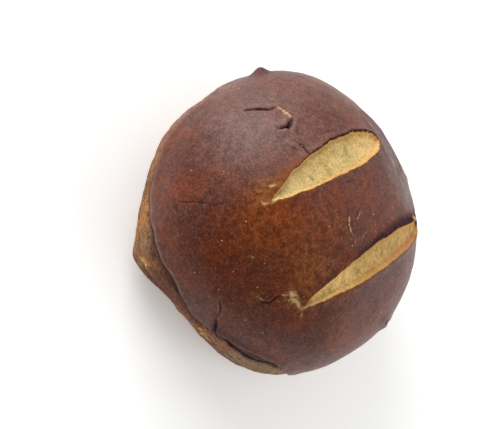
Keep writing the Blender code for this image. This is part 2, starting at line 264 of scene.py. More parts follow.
# Patches that the material reads by name: (azimuth, lift, spread, strength)
PATCHES = {
    "warm": (
        (262, 50, 9, 1), (268, 58, 12, 0.6), (246, 52, 7, 0.6), (284, 52, 14, 0.45), (318, 47, 7, 0.5),
        (330, 66, 14, 0.3),
    ),
    "ochre": (
        (316, 57.5, 9, 0.9), (289.5, 62, 6, 0.5), (300.5, 77.5, 7, 0.5), (352.5, 54.5, 6, 0.8),
        (322, 45, 6, 0.5), (272, 46, 5, 0.35),
    ),
    # Where fine pale dots are thickest
    "dotted": ((270, 34, 26, 1), (200, 50, 16, 0.3), (318, 34, 14, 0.5)),
    # Soft torn patches beside the slashes' tips
    "scuffed": (
        (254, 49.5, 2.6, 0.7), (252.5, 53.5, 2.6, 0.8), (243.5, 53, 3, 0.75), (241, 56.5, 3.4, 0.6),
        (240.5, 50, 2.4, 0.4), (247, 50, 2.4, 0.5), (248, 61, 2.5, 0.35), (317.5, 43, 3.4, 1),
        (324.5, 41.5, 2.4, 0.9), (302, 32, 2.4, 0.8), (306, 35, 2, 0.7),
    ),
    "purple": (
        (60, 6, 34, 0.6), (115, 8, 30, 0.5), (190, 4, 22, 0.5), (172, 8, 14, 0.9), (150, 12, 12, 0.7),
        (130, 40, 14, 0.4), (104, 60, 9, 0.6), (160, 60, 8, 0.4), (300, 28, 9, 0.4), (20, 76, 6, 0.4),
    ),
    # Where a painted sheen makes the crust paler and dull
    "pale_sheen": (
        (205, 42, 18, 0.75), (218, 26, 10, 0.6), (232, 36, 9, 0.4), (168, 40, 18, 0.25),
        (226, 30, 12, 0.5), (190, 60, 13, 0.6),
    ),
    # Where the crust is less glossy
    "matt": (
        (175, 12, 16, 1), (20, 30, 16, 0.5), (232, 20, 18, 0.7), (258, 26, 20, 0.9),
        (270, 50, 20, 0.8), (300, 56, 22, 0.8), (340, 66, 20, 0.8), (345, 50, 16, 0.5),
        (295, 30, 18, 0.7),
    ),
    # Where a painted grey sheen lies on the crust near its right rim, with fine streaks
    "rim_sheen": (
        (100, 42, 9, 0.9), (88, 42, 7, 0.8), (112, 36, 8, 0.7), (55, 36, 10, 0.35), (35, 26, 12, 0.35),
    ),
    # Where the crust's lower edge catches the light
    "bright_edge": (
        (212, 24, 13, 0.8), (226, 14, 11, 0.7), (330, 8, 10, 0.3), (262, 3, 16, 1), (280, 5, 12, 1),
        (240, 0, 12, 0.6),
    ),
    # Where the gap under the crust's edge is deeper, so that its painted shadow lies further down, and where
    # the painted shadow ends
    "gap": ((307.5, 3, 3, 1), (312.5, 3.5, 3.4, 1), (321, 6, 4, 0.9), (329, 8, 4, 0.9), (336, 9, 3, 0.7)),
    "fold_end": ((346, 2, 6, 1), (351, -2, 6, 1)),
    # Tones of the side band
    "band_gold": (
        (247, -3, 6, 0.9), (254, -6, 6, 0.9), (260, -12, 6, 0.6), (274, -4.5, 2.6, 0.9),
        (269, -7.5, 2.4, 0.7), (231, -6, 5, 0.8), (308, -7, 3.6, 0.9), (298, -12, 5, 0.6),
    ),
    "band_red": ((283, 0, 7, 1), (291, 0, 8, 1), (300, 2, 7, 0.9), (284, -9, 6, 0.8), (312, 3, 5, 0.6)),
    "band_grey": ((325, 0, 7, 1), (334, 3, 9, 1), (346, -2, 9, 0.8), (265, -6, 5, 0.6)),
    "band_pink": ((310, 0, 4, 1), (316, 1, 5, 1), (323, 4, 5, 0.6)),
    "band_mauve": ((195, 8, 9, 1), (206, 5, 9, 1), (216, 2, 9, 1), (226, 0, 6, 0.7)),
}

# Colours as they look in the photograph's light, as red, green and blue from 0 to 255
CRUST_DARK = (98, 53, 40)
CRUST_RED = (117, 53, 26)
CRUST_OCHRE = (146, 88, 40)
# Painted highlight on the crust's lower edge
EDGE_HIGHLIGHT = (150, 122, 112)
CRUST_DOT = (176, 122, 76)
# Painted shadow above the slashes' overhangs
OVERHANG_SHADOW = (50, 30, 38)
# Painted sheen near the right rim
RIM_SHEEN_GREY = (130, 114, 108)
CRUST_SPECK = (150, 112, 96)
# Painted shadow in the crevice under the crust's fold
FOLD_CREVICE_SHADOW = (58, 34, 34)
# Painted shadow in the cracks
CRACK_SHADOW = (44, 23, 18)
SCUFFED_TAN = (152, 98, 58)
CRUST_HALO = (142, 80, 32)
TORN_TAN = (198, 152, 90)
TORN_PALE = (232, 202, 146)
CRUMB_CREAM = (226, 200, 138)
CRUMB_PALE = (220, 194, 128)
CRUMB_TAN = (206, 173, 110)
CRUMB_GREY = (162, 149, 96)
CRUMB_BORDER = (202, 148, 80)
CRUMB_LINE = (120, 66, 36)
CRUMB_SALMON = (200, 136, 88)
BAND_TAN = (158, 112, 76)
BAND_BROWN = (110, 70, 50)
GRAIN_PALE = (240, 214, 168)
FLOOR_WHITE = (247, 247, 246)
# Tones of the crust's and the band's patches, in the order in which they are laid on
CRUST_TONES = {
    "purple": (84, 51, 49),
    # A painted sheen
    "pale_sheen": (110, 74, 66),
    "warm": (136, 64, 20),
}
BAND_TONES = {
    "band_grey": (150, 126, 96),
    "band_mauve": (142, 104, 92),
    "band_red": (112, 64, 52),
    "band_gold": (176, 124, 70),
    "band_pink": (172, 118, 92),
}
# Factors for painted light and shade on the crumb: none, painted shade in pores, painted light at the first
# slash's blunt end, and painted light at the second one's tip and painted shade towards its blunt end
NO_CHANGE = (1, 1, 1, 1)
PORE_SHADE = (0.66, 0.56, 0.42, 1)
FIRST_END_LIGHT = (1.26, 1.18, 1.24, 1)
SECOND_TIP_LIGHT = (1.38, 1.28, 1.14, 1)
SECOND_END_SHADE = (1, 0.86, 0.8, 1)

# Bright grains on the crust that can be made out one by one: (azimuth, lift)
GRAIN_PLACES = (
    (265, 44), (284.5, 42), (302.5, 77), (271.5, 33.5), (281, 18), (291.5, 23), (238.5, 34.5),
    (239, 20.5), (287, 32.5), (310, 22.5), (319.5, 23), (343, 8.5), (193.5, 16), (300, 36.5),
    (349.5, 22.5), (0.5, 71.5), (68, 71.5), (198, 56.5),
)
GRAIN_RADIUS = 0.19 * MM
FAINT_GRAIN_COUNT = 170
FAINT_GRAIN_RADII = (0.06 * MM, 0.11 * MM)
FAINT_GRAIN_LOWEST = 0.1
GRAIN_FLATNESS = 0.6
GRAIN_TO_CRUMB = 0.3 * MM

# The photograph's frame and view: its size, where the roll's middle shows, how many pixels a metre there
# takes, how steeply the view looks down, and the angle at which the roll's upward axis shows
PHOTO_SIZE = (480, 429)
ROLL_PIXEL = (283, 222)
PIXELS_PER_METRE = 3160
ROLL_MIDDLE = Vector((0, 0, 20 * MM))
VIEW_DISTANCE = 0.3
VIEW_LIFT = 56
UP_AXIS_ANGLE = 14
SENSOR_WIDTH = 36

# The white surroundings are dimmer on the camera's side: between which Y of the direction, and how bright
SURROUND_FADE = (-0.5, 0.4)
SURROUND_STRENGTHS = (0.22, 0.76)
# Square soft lights: name, place from the roll's middle, side and power
SOFTBOXES = (
    ("key_softbox", (-0.56, -0.06, 0.24), 0.4, 3.4),
    ("far_softbox", (0.42, 0.36, 0.28), 0.4, 1),
)
# The floor: half its side, how far it lies below the base, and how strongly it glows
FLOOR_REACH = 1.5
FLOOR_DROP = 0.1 * MM
FLOOR_GLOW = 0.3


def unit(vectors):
    return vectors / np.linalg.norm(vectors, axis=1, keepdims=True)


def smooth_step(value):
    """0 below 0, 1 above 1, and an S curve between them."""
    t = np.clip(value, 0, 1)
    return t * t * (3 - 2 * t)


def bell(distance, spread):
    """1 at no distance, falling to nothing a few spreads away."""
    return np.exp(-((distance / spread) ** 2))


def azimuth_of(directions):
    return np.degrees(np.arctan2(directions[:, 1], directions[:, 0]))


def direction_of(azimuth, lift):
    turn, rise = np.radians(azimuth), np.radians(lift)
    return np.array([np.cos(turn) * np.cos(rise), np.sin(turn) * np.cos(rise), np.sin(rise)])


def random_field(points, length, seed):
    """Smooth random values from -1 to 1 that change over about the given length."""
    place = points / length
    cell = np.floor(place).astype(np.int64)
    share = smooth_step(place - cell)
    total = np.zeros(len(points))
    for corner in itertools.product((0, 1), repeat=3):
        x, y, z = (cell + corner).T
        mixed = (x * 73856093) ^ (y * 19349663) ^ (z * 83492791) ^ (seed * 26544357)
        mixed = ((mixed ^ (mixed >> 13)) * 1274126177) & 0xFFFFFFFF
        mixed = ((mixed ^ (mixed >> 15)) * 2246822519) & 0xFFFFFFFF
        value = (mixed >> 16) / 32767.5 - 1
        total += value * np.prod(np.where(corner, share, 1 - share), axis=1)
    return total


def layered_field(points, layers, seed):
    seeds = itertools.count(seed)
    return sum(rise * random_field(points, length, next(seeds)) for rise, length in layers)


def strayed(points):
    """The points moved about a little, so that lines measured from them look torn and not drawn."""
    return points + np.stack([layered_field(points, STRAYS, seed) for seed in STRAY_SEEDS], axis=1)


def swell(azimuth, swells):
    """The sum of the rises of bell-shaped swells round the outline."""
    total = np.zeros_like(azimuth)
    for middle, spread, rise in swells:
        turn = (azimuth - middle + 180) % 360 - 180
        total += rise * np.exp(-0.5 * (turn / spread) ** 2)
    return total


def fold_height(azimuth):
    """The height of the crust's lower edge, eased from place to place round the roll."""
    places = np.array([place for place, _ in FOLD_LINE], float)
    heights = np.array([height * MM for _, height in FOLD_LINE])
    turn = azimuth % 360
    after = np.searchsorted(places, turn) % len(places)
    before = after - 1
    span = (places[after] - places[before]) % 360
    share = smooth_step(((turn - places[before]) % 360) / span)
    return heights[before] + (heights[after] - heights[before]) * share


def smooth_dough(directions):
    """The points of the dough without the relief of its crust, and which way is outward there."""
    flat = np.hypot(directions[:, 0], directions[:, 1])
    rise = directions[:, 2]
    girth = MEAN_RADIUS + swell(azimuth_of(directions), GIRTH_SWELLS)
    reach = np.where(rise >= 0, HEIGHT - WAIST_HEIGHT, UNDERSIDE_DROP)
    power = np.where(rise >= 0, DOME_FULLNESS, UNDERSIDE_FULLNESS)
    scale = ((flat / girth) ** power + (np.abs(rise) / reach) ** power) ** (-1 / power)
    points = directions * scale[:, None]
    sideways = (flat * scale / girth) ** (power - 1) / girth / np.maximum(flat, 1e-9)
    upward = np.sign(rise) * (np.abs(rise) * scale / reach) ** (power - 1) / reach
    outward = unit(np.stack([directions[:, 0] * sideways, directions[:, 1] * sideways, upward], axis=1))
    for turning, phase, height in DOUGH_WAVES:
        points = points + outward * (height * np.sin(points @ np.array(turning, float) + phase))[:, None]
    points[:, 2] += WAIST_HEIGHT
    return points, outward


def slash_places(points, slash):
    """How far outside the slash's edge each point is (below 0 inside), how far across it (-1 to 1) and along
    it (0 to 1), and the slash's half width there, all seen from above."""
    tip, end = np.array(slash["tip"]), np.array(slash["end"])
    length = np.linalg.norm(end - tip)
    along = (end - tip) / length
    across = np.array([along[1], -along[0]])
    offset = points[:, :2] - tip
    share = offset @ along / length
    within = np.clip(share, SLASH_END_MARGIN, 1 - SLASH_END_MARGIN)
    side = offset @ across + slash["bend"] * 4 * within * (1 - within)
    widest = slash["widest"]
    sharpness = SLASH_BLUNTNESS * widest / (1 - widest) * slash["tip_sharpness"]
    leaf = (within / widest) ** sharpness * ((1 - within) / (1 - widest)) ** SLASH_BLUNTNESS
    half = slash["half_width"] * leaf
    slant = half * (sharpness / within - SLASH_BLUNTNESS / (1 - within)) / length
    beside = (np.abs(side) - half) / np.sqrt(1 + slant**2)
    beyond = np.abs(share - within) * length
    edge = np.where(beyond > 0, np.hypot(np.maximum(beside, 0), beyond), beside)
    return edge, side / np.maximum(half, 1e-6), within, half


def wall_share(points, slash):
    """How far down the slash's wall each point is: 0 at the crust's edge and 1 at the wall's foot."""
    edge, across, _, half = slash_places(points, slash)
    overhang = slash["overhang"] * half / slash["half_width"]
    steep = (overhang - edge) / (overhang + slash["walls"][0])
    gentle = -edge / slash["walls"][1]
    return np.where(across < 0, steep, gentle)


def path_distance(points, path):
    """How far each point is from a path over the dough, and how far along the path, from 0 to 1."""
    places, _ = smooth_dough(np.array([direction_of(*place) for place in path]))
    lengths = np.linalg.norm(np.diff(places, axis=0), axis=1)
    marks = np.concatenate([[0], np.cumsum(lengths)]) / lengths.sum()
    nearest = np.full(len(points), np.inf)
    share = np.zeros(len(points))
    for index, length in enumerate(lengths):
        way = (places[index + 1] - places[index]) / length
        along = np.clip((points - places[index]) @ way, 0, length)
        distance = np.linalg.norm(points - places[index] - along[:, None] * way, axis=1)
        here = marks[index] + along / length * (marks[index + 1] - marks[index])
        share = np.where(distance < nearest, here, share)
        nearest = np.minimum(nearest, distance)
    return nearest, share


def slash_relief(points, upper):
    """Rise of the crust beside the slashes and fall of the crumb inside them."""
    rise = np.zeros(len(points))
    for slash in SLASHES:
        edge, across, _, half = slash_places(points, slash)
        inside = np.clip(wall_share(points, slash), 0, 1)
        hollow = np.cos(np.clip(across, -1, 1) * np.pi / 2)
        deepening = (slash["middle_depth"] - slash["foot_depth"]) * hollow
        fullness = np.clip(half / (slash["half_width"] * SLASH_FULL_AT), 0, 1)
        wide = SLASH_END_DEPTH + (1 - SLASH_END_DEPTH) * fullness
        rise -= inside * (slash["foot_depth"] + deepening) * wide
        rise += (1 - inside) * SLASH_LIP * wide * bell(np.maximum(edge, 0), SLASH_LIP_REACH)
    return np.where(upper, rise, 0)


def crack_opening(share):
    """How far open a crack is along its length: narrow at its ends and full in its middle."""
    return CRACK_END_DEPTH + (1 - CRACK_END_DEPTH) * np.sqrt(np.clip(4 * share * (1 - share), 0, 1))


def crack_relief(points):
    """Fall of the crust in its cracks and the curl of their sides."""
    rise = np.zeros(len(points))
    for path, half_width, depth, curl, _ in CRACKS:
        distance, share = path_distance(points, path)
        rise -= depth * MM * crack_opening(share) * bell(distance, half_width * MM)
        rise += curl * MM * bell(distance - CURL_REACH, CURL_REACH)
    return rise


def torn_relief(points):
    rise = np.zeros(len(points))
    for path, half_width, height, _ in TORN_MARKS:
        distance, _ = path_distance(points, path)
        rise += height * MM * bell(distance, half_width * MM)
    return rise


def lump_relief(points):
    rise = np.zeros(len(points))
    for azimuth, lift, spread, height in LUMPS:
        place, _ = smooth_dough(direction_of(azimuth, lift)[None, :])
        rise += height * MM * bell(np.linalg.norm(points - place, axis=1), spread * MM)
    return rise


def fold_shift(points, azimuth):
    """How far the side moves out: the crust swells over its lower edge, and the band below is tucked in."""
    fold = fold_height(azimuth)
    above = points[:, 2] - fold
    below = np.clip(-above / FOLD_STEP, 0, 1)
    lip = (1 - below) * FOLD_LIP * bell(np.maximum(above, 0), FOLD_LIP_REACH)
    tuck = FOLD_TUCK * (1 - swell(azimuth, FOLD_CLOSING)) * (1 - smooth_step(-above / FOLD_TUCK_REACH))
    foot = swell(azimuth, FOOT_SWELLS) * smooth_step(-above / (fold * FOOT_FULL_AT))
    return lip - below * (tuck - foot)


def flat_bottom(height):
    """Heights with those below the base brought up to it, and a rounded turn between."""
    turn = BASE_ROUNDING * np.clip(0.5 + height / (2 * BASE_ROUNDING), 0, 1) ** 2
    return np.where(height > BASE_ROUNDING, height, turn)


def crumb_reach(points, upper):
    """How far inside a slash each point is (below 0 outside), how far across and along it, and which one."""
    found = [slash_places(points, slash) for slash in SLASHES]
    edges = np.array([edge for edge, _, _, _ in found])
    which = np.argmin(edges, axis=0)
    columns = np.arange(len(points))
    across = np.array([across for _, across, _, _ in found])[which, columns]
    along = np.array([along for _, _, along, _ in found])[which, columns]
    inside = np.where(upper, -edges[which, columns], -1)
    return inside, np.clip(across, -2, 2), along, which


def fine_relief(points, ragged, azimuth, upper):
    """The small unevenness of the crust, the crumb and the side band."""
    inside, _, _, _ = crumb_reach(ragged, upper)
    crumb = smooth_step(inside / RELIEF_BLEND)
    below_fold = smooth_step((fold_height(azimuth) - ragged[:, 2]) / RELIEF_BLEND)
    band = below_fold * smooth_step(points[:, 2] / BASE_BLEND)
    crust = (1 - crumb) * (1 - band)
    relief = crust * layered_field(points, CRUST_DIMPLES, DIMPLE_SEED)
    relief += crumb * layered_field(points, CRUMB_LUMPS, CRUMB_SEED)
    pores = smooth_step((random_field(points, CRUMB_PORE_LENGTH, PORE_SEED) - PORE_FROM) / PORE_SPAN)
    relief -= crumb * CRUMB_PORE * pores
    layered = points * (1, 1, BAND_STRETCH) / BAND_STRETCH ** 0.5
    relief += band * layered_field(layered, BAND_LAYERS, BAND_SEED)
    return relief


def roll_points(directions):
    """The finished surface in each direction from the waist's middle, and which way is outward there."""
    points, outward = smooth_dough(directions)
    azimuth = azimuth_of(directions)
    upper = directions[:, 2] > 0
    ragged = strayed(points)
    relief = slash_relief(ragged, upper) + crack_relief(ragged) + torn_relief(ragged) + lump_relief(points)
    relief += fine_relief(points, ragged, azimuth, upper)
    sideways = np.stack([np.cos(np.radians(azimuth)), np.sin(np.radians(azimuth)), 0 * azimuth], axis=1)
    from_middle = np.hypot(points[:, 0], points[:, 1]) / MEAN_RADIUS
    on_side = smooth_step((from_middle - SIDE_FROM) / (SIDE_FULL_AT - SIDE_FROM))
    shift = fold_shift(ragged, azimuth) * on_side
    made = points + outward * relief[:, None] + sideways * shift[:, None]
    made[:, 2] = flat_bottom(made[:, 2])
    return made, outward


def fold_field(directions):
    """How far above the fold the ragged dough is in each direction."""
    return strayed(smooth_dough(directions)[0])[:, 2] - fold_height(azimuth_of(directions))


def slash_field(directions, slash):
    """How far down the slash's ragged wall each direction's point is."""
    return wall_share(strayed(smooth_dough(directions)[0]), slash)


def nearest_mark(points):
    """How far each point is from the nearest crack or torn mark."""
    return np.min([path_distance(points, path)[0] for path, *_ in CRACKS + TORN_MARKS], axis=0)


def nearest_detail(directions):
    """How far each direction's point is from the nearest slash, mark or fold, and 0 inside a slash."""
    points = strayed(smooth_dough(directions)[0])
    inside, _, _, _ = crumb_reach(points, directions[:, 2] > 0)
    nearest = np.minimum(np.maximum(-inside, 0), nearest_mark(points))
    return np.minimum(nearest, np.abs(fold_field(directions)))


def nearest_detail_or_band(directions):
    """The same, and 0 on the side band."""
    on_band = (fold_field(directions) < 0) & (directions[:, 2] > BASE_BELOW)
    return np.where(on_band, 0, nearest_detail(directions))


def above_base(directions):
    """0 in all directions but those of the flat base."""
    return np.where(directions[:, 2] > BASE_BELOW, 0, 1)


def directions_of(ball):
    return unit(np.array([vertex.co[:] for vertex in ball.verts]))


def split_near(ball, distance, reach):
    """Each face of the ball that is near enough to a detail is split into four."""
    middles = unit(np.array([face.calc_center_median()[:] for face in ball.faces]))
    near = distance(middles) < reach
    edges = {edge for face, split in zip(ball.faces, near) if split for edge in face.edges}
    bmesh.ops.subdivide_edges(ball, edges=list(edges), cuts=1)
    bmesh.ops.triangulate(ball, faces=ball.faces[:])


def settle(directions, field, level):
    """Directions near the line where a field has a level are moved onto it. Also says which were moved."""
    value = field(directions)
    first = unit(np.cross(directions, (0.3, 0.5, 0.8)))
    second = np.cross(directions, first)
    slope_first = (field(unit(directions + SLOPE_TURN * first)) - value) / SLOPE_TURN
    slope_second = (field(unit(directions + SLOPE_TURN * second)) - value) / SLOPE_TURN
    steepness = np.maximum(np.hypot(slope_first, slope_second), 1e-9)
    missing = (level - value) / steepness
    close = np.abs(missing) < SETTLE_WITHIN
    turn = np.where(close, missing / steepness, 0)[:, None]
    return unit(directions + turn * (slope_first[:, None] * first + slope_second[:, None] * second)), close


def cut_along(ball, field, level):
    """Edges of the ball's faces are made to run along the line where a field has a level."""
    directions, settled = settle(directions_of(ball), field, level)
    for vertex, direction in zip(ball.verts, directions):
        vertex.co = Vector(direction)
    value = np.where(settled, 0, field(directions) - level)
    ball.verts.index_update()
    ends = np.array([(edge.verts[0].index, edge.verts[1].index) for edge in ball.edges])
    before, after = value[ends[:, 0]], value[ends[:, 1]]
    ball.verts.ensure_lookup_table()
    ball.edges.ensure_lookup_table()
    on_line = [ball.verts[index] for index in np.flatnonzero(settled)]
    crossing = np.flatnonzero(before * after < 0)
    shares = before[crossing] / (before[crossing] - after[crossing])
    for edge, share in zip([ball.edges[index] for index in crossing], shares):
        _, vertex = bmesh.utils.edge_split(edge, edge.verts[0], share)
        on_line.append(vertex)
    bmesh.ops.connect_verts(ball, verts=on_line)
    bmesh.ops.triangulate(ball, faces=[face for face in ball.faces if len(face.verts) > 3])


def unit_ball():
    """A ball of unit radius with finer faces near details, and edges along the fold and the slashes."""
    ball = bmesh.new()
    bmesh.ops.create_icosphere(ball, subdivisions=BALL_SUBDIVISIONS, radius=1)
    split_near(ball, above_base, 1)
    split_near(ball, nearest_detail_or_band, SPLIT_ONCE)
    split_near(ball, nearest_detail, SPLIT_TWICE)
    for level in (0, -FOLD_STEP):
        cut_along(ball, fold_field, level)
    for slash in SLASHES:
        for level in (0, 1):
            cut_along(ball, lambda ways: slash_field(ways, slash), level)
    return ball


def glow(directions, places):
    """The sum of bell-shaped patches on the roll, from 0 to 1."""
    total = np.zeros(len(directions))
    for azimuth, lift, spread, strength in places:
        away = np.degrees(np.arccos(np.clip(directions @ direction_of(azimuth, lift), -1, 1)))
        total += strength * bell(away, spread)
    return np.clip(total, 0, 1)


def line_strength(points, marks):
    """How strongly the nearest of some marks shows at each point, from 0 to 1."""
    shown = np.zeros(len(points))
    for path, half_width, *_, strength in marks:
        distance, share = path_distance(points, path)
        shown = np.maximum(shown, strength * crack_opening(share) * bell(distance, half_width * MM))
    return shown


def slash_tints(points, upper):
    """How orange the crust is beside the slashes, and how strong the painted shadow above their overhangs
    is, from 0 to 1.
    """
    halo = np.zeros(len(points))
    shade = np.zeros(len(points))
    for slash in SLASHES:
        edge, across, along, _ = slash_places(points, slash)
        beside = np.maximum(edge, 0)
        tip = 1 - smooth_step(along / HALO_FADED_AT)
        strength = slash["halo_strength"] + (1 - slash["halo_strength"]) * tip
        halo = np.maximum(halo, strength * bell(beside, HALO_REACH + tip * (across < 0) * slash["halo"]))
        reach = slash["shade"] * smooth_step((along - SHADE_FROM) / (SHADE_FULL_AT - SHADE_FROM))
        over = (across < 0) & (along < 1 - 2 * SLASH_END_MARGIN)
        shown = over * smooth_step((along - SHADE_FROM) / (SHADE_DARK_AT - SHADE_FROM))
        shade = np.maximum(shade, shown * smooth_step(SHADE_FADED_AT - beside / (reach + SHADE_BLUR)))
    return halo * (1 - shade) * upper, shade * upper


def salmon_wall(inside, across, along, which):
    """Where the second slash's inner wall on the +X side shows salmon crumb, from 0 to 1."""
    near_edge = smooth_step((across - SALMON_ACROSS) / SALMON_ACROSS_FADE) * (inside > 0)
    begun = smooth_step((along - SALMON_FROM) / SALMON_ALONG_FADE)
    not_ended = smooth_step((SALMON_TO - along) / SALMON_ALONG_FADE)
    return near_edge * begun * not_ended * which


def surface_fields(directions):
    """The values that the material reads, by name. Lengths are in millimetres."""
    points = strayed(smooth_dough(directions)[0])
    upper = directions[:, 2] > 0
    inside, across, along, which = crumb_reach(points, upper)
    halo, shade = slash_tints(points, upper)
    fields = {name: glow(directions, places) for name, places in PATCHES.items()}
    return fields | {
        "crumb_inside": inside / MM,
        "crumb_across": across,
        "crumb_along": along,
        "second_slash": which,
        "above_fold": fold_field(directions) / MM,
        "halo": halo,
        "shade": shade,
        "salmon": salmon_wall(inside, across, along, which),
        "crack": line_strength(points, CRACKS),
        "torn": line_strength(points, TORN_MARKS),
    }


def linear(colour):
    """A colour from 0 to 255 as the shader's light values."""
    shares = [channel / 255 for channel in colour]
    return tuple(c / 12.92 if c <= 0.04045 else ((c + 0.055) / 1.055) ** 2.4 for c in shares) + (1,)


# The sockets of a Map Range node that say which values it takes and gives
RANGE_SOCKETS = ("From Min", "From Max", "To Min", "To Max")


class Paint:
    """Short ways to add nodes to a material. Those that make a value return the new node's output."""

    def __init__(self, name):
        self.material = bpy.data.materials.new(name)
        self.material.use_nodes = True
        self.tree = self.material.node_tree
        self.shader = self.tree.nodes["Principled BSDF"]
        self.place = self.new("TexCoord").outputs["Object"]

    def new(self, kind):
        return self.tree.nodes.new("ShaderNode" + kind)

    def put(self, socket, value):
        if isinstance(value, bpy.types.NodeSocket):
            self.tree.links.new(value, socket)
        else:
            socket.default_value = value

    def set(self, name, value):
        """Gives one of the shader's own sockets its value."""
        self.put(self.shader.inputs[name], value)

    def field(self, name):
        node = self.new("Attribute")
        node.attribute_name = name
        return node.outputs["Fac"]

    def noise(self, length, detail=3, stretch=(1, 1, 1), roughness=0.55):
        """Random values round 0.5 that change over about the given length."""
        node = self.new("TexNoise")
        moved = self.new("Mapping")
        moved.inputs["Scale"].default_value = stretch
        self.put(moved.inputs["Vector"], self.place)
        self.put(node.inputs["Vector"], moved.outputs["Vector"])
        node.inputs["Scale"].default_value = 1 / length
        node.inputs["Detail"].default_value = detail
        node.inputs["Roughness"].default_value = roughness
        return node.outputs["Fac"]

    def spots(self, length):
        """The distance to the nearest of many scattered points, as a share of the length."""
        node = self.new("TexVoronoi")
        self.put(node.inputs["Vector"], self.place)
        node.inputs["Scale"].default_value = 1 / length
        return node.outputs["Distance"]

    def span(self, value, low, high, start=0, end=1):
        """A value from low to high turned into one from start to end, with a soft turn at both."""
        node = self.new("MapRange")
        node.interpolation_type = "SMOOTHSTEP"
        self.put(node.inputs["Value"], value)
        for name, number in zip(RANGE_SOCKETS, (low, high, start, end)):
            node.inputs[name].default_value = number
        return node.outputs["Result"]

    def calculate(self, operation, first, second):
        node = self.new("Math")
        node.operation = operation
        self.put(node.inputs[0], first)
        self.put(node.inputs[1], second)
        return node.outputs["Value"]

    def times(self, first, second):
        return self.calculate("MULTIPLY", first, second)

    def mix(self, first, second, share, blend="MIX"):
        """A colour between two, which a Mix node takes in sockets 6 and 7 and gives in socket 2."""
        node = self.new("Mix")
        node.data_type = "RGBA"
        node.blend_type = blend
        self.put(node.inputs["Factor"], share)
        self.put(node.inputs[6], first)
        self.put(node.inputs[7], second)
        return node.outputs[2]

    def tint(self, first, colour, share):
        """A shader colour mixed with one that is written from 0 to 255."""
        return self.mix(first, linear(colour), share)

    def mix_values(self, first, second, share):
        """A value between two, which a Mix node takes in sockets 2 and 3 and gives in socket 0."""
        node = self.new("Mix")
        self.put(node.inputs["Factor"], share)
        self.put(node.inputs[2], first)
        self.put(node.inputs[3], second)
        return node.outputs[0]

    def bump(self, height, distance, strength):
        node = self.new("Bump")
        node.inputs["Distance"].default_value = distance
        node.inputs["Strength"].default_value = strength
        self.put(node.inputs["Height"], height)
        self.set("Normal", node.outputs["Normal"])


def speckled(paint, colour, value, dark, light):
    """A colour made darker and lighter by a random value round 0.5."""
    darker = (dark, dark * 0.98, dark * 0.97, 1)
    lighter = (light, light, light * 1.02, 1)
    change = paint.mix(darker, lighter, paint.span(value, 0.33, 0.67))
    return paint.mix(colour, change, 1, "MULTIPLY")


def toned(paint, colour, tones, patchy):
    """A colour with tones laid on it in their patches."""
    for name, tone in tones.items():
        colour = paint.tint(colour, tone, paint.times(paint.field(name), patchy))
    return colour


def crust_colour(paint):
    """Dark red-brown crust, warmer in its middle and round the slashes, mottled and dotted, with painted
    sheen, a painted highlight on its lower edge and painted shadow above the slashes.
    """
    broad = paint.noise(14 * MM, 2)
    mottle = paint.noise(2.2 * MM, 5, roughness=0.7)
    fine = paint.noise(0.8 * MM, 3, roughness=0.75)
    colour = paint.mix(linear(CRUST_DARK), linear(CRUST_RED), paint.span(broad, 0.35, 0.65))
    # The purple tone, a painted sheen and the warm tone, each in its patches
    colour = toned(paint, colour, CRUST_TONES, paint.span(mottle, 0.3, 0.7, 0.6, 1))
    ochre = paint.times(paint.field("ochre"), paint.span(mottle, 0.38, 0.62, 0.1, 0.9))
    colour = paint.tint(colour, CRUST_OCHRE, ochre)
    streaks = paint.noise(1.3 * MM, 4, stretch=(0.35, 1, 1.6), roughness=0.7)
    # Painted grey sheen near the right rim, broken by fine streaks
    grey = paint.times(paint.field("rim_sheen"), paint.span(streaks, 0.35, 0.65, 0.15, 0.8))
    colour = paint.tint(colour, RIM_SHEEN_GREY, grey)
    # Painted shadow above the slashes' overhangs, in dark purple
    colour = paint.tint(colour, OVERHANG_SHADOW, paint.times(paint.field("shade"), 0.92))
    colour = speckled(paint, colour, mottle, 0.74, 1.28)
    colour = speckled(paint, colour, fine, 0.7, 1.2)
    colour = paint.tint(colour, CRUST_SPECK, paint.span(fine, 0.5, 0.72, 0, 0.2))
    specks = paint.span(paint.spots(0.8 * MM), 0.36, 0.12)
    specks = paint.times(specks, paint.span(fine, 0.42, 0.6, 0, 0.36))
    colour = paint.tint(colour, CRUST_SPECK, specks)
    dots = paint.span(paint.spots(1.1 * MM), 0.34, 0.14)
    chosen = paint.span(paint.noise(2.3 * MM, 2), 0.48, 0.6)
    dots = paint.times(paint.times(dots, chosen), paint.field("dotted"))
    colour = paint.tint(colour, CRUST_DOT, paint.times(dots, 0.5))
    # Painted highlight along the crust's lower edge
    edge = paint.times(paint.span(paint.field("above_fold"), 1.8, 0.4), paint.field("bright_edge"))
    edge = paint.times(edge, paint.span(mottle, 0.3, 0.7, 0.2, 0.6))
    colour = paint.tint(colour, EDGE_HIGHLIGHT, edge)
    halo = paint.times(paint.field("halo"), paint.span(mottle, 0.32, 0.6, 0.25, 1))
    colour = paint.tint(colour, CRUST_HALO, halo)
    scuffed = paint.times(paint.field("scuffed"), paint.span(fine, 0.35, 0.62, 0.15, 1))
    scuffed = paint.times(scuffed, paint.span(mottle, 0.35, 0.6, 0.3, 1))
    return paint.tint(colour, SCUFFED_TAN, scuffed)


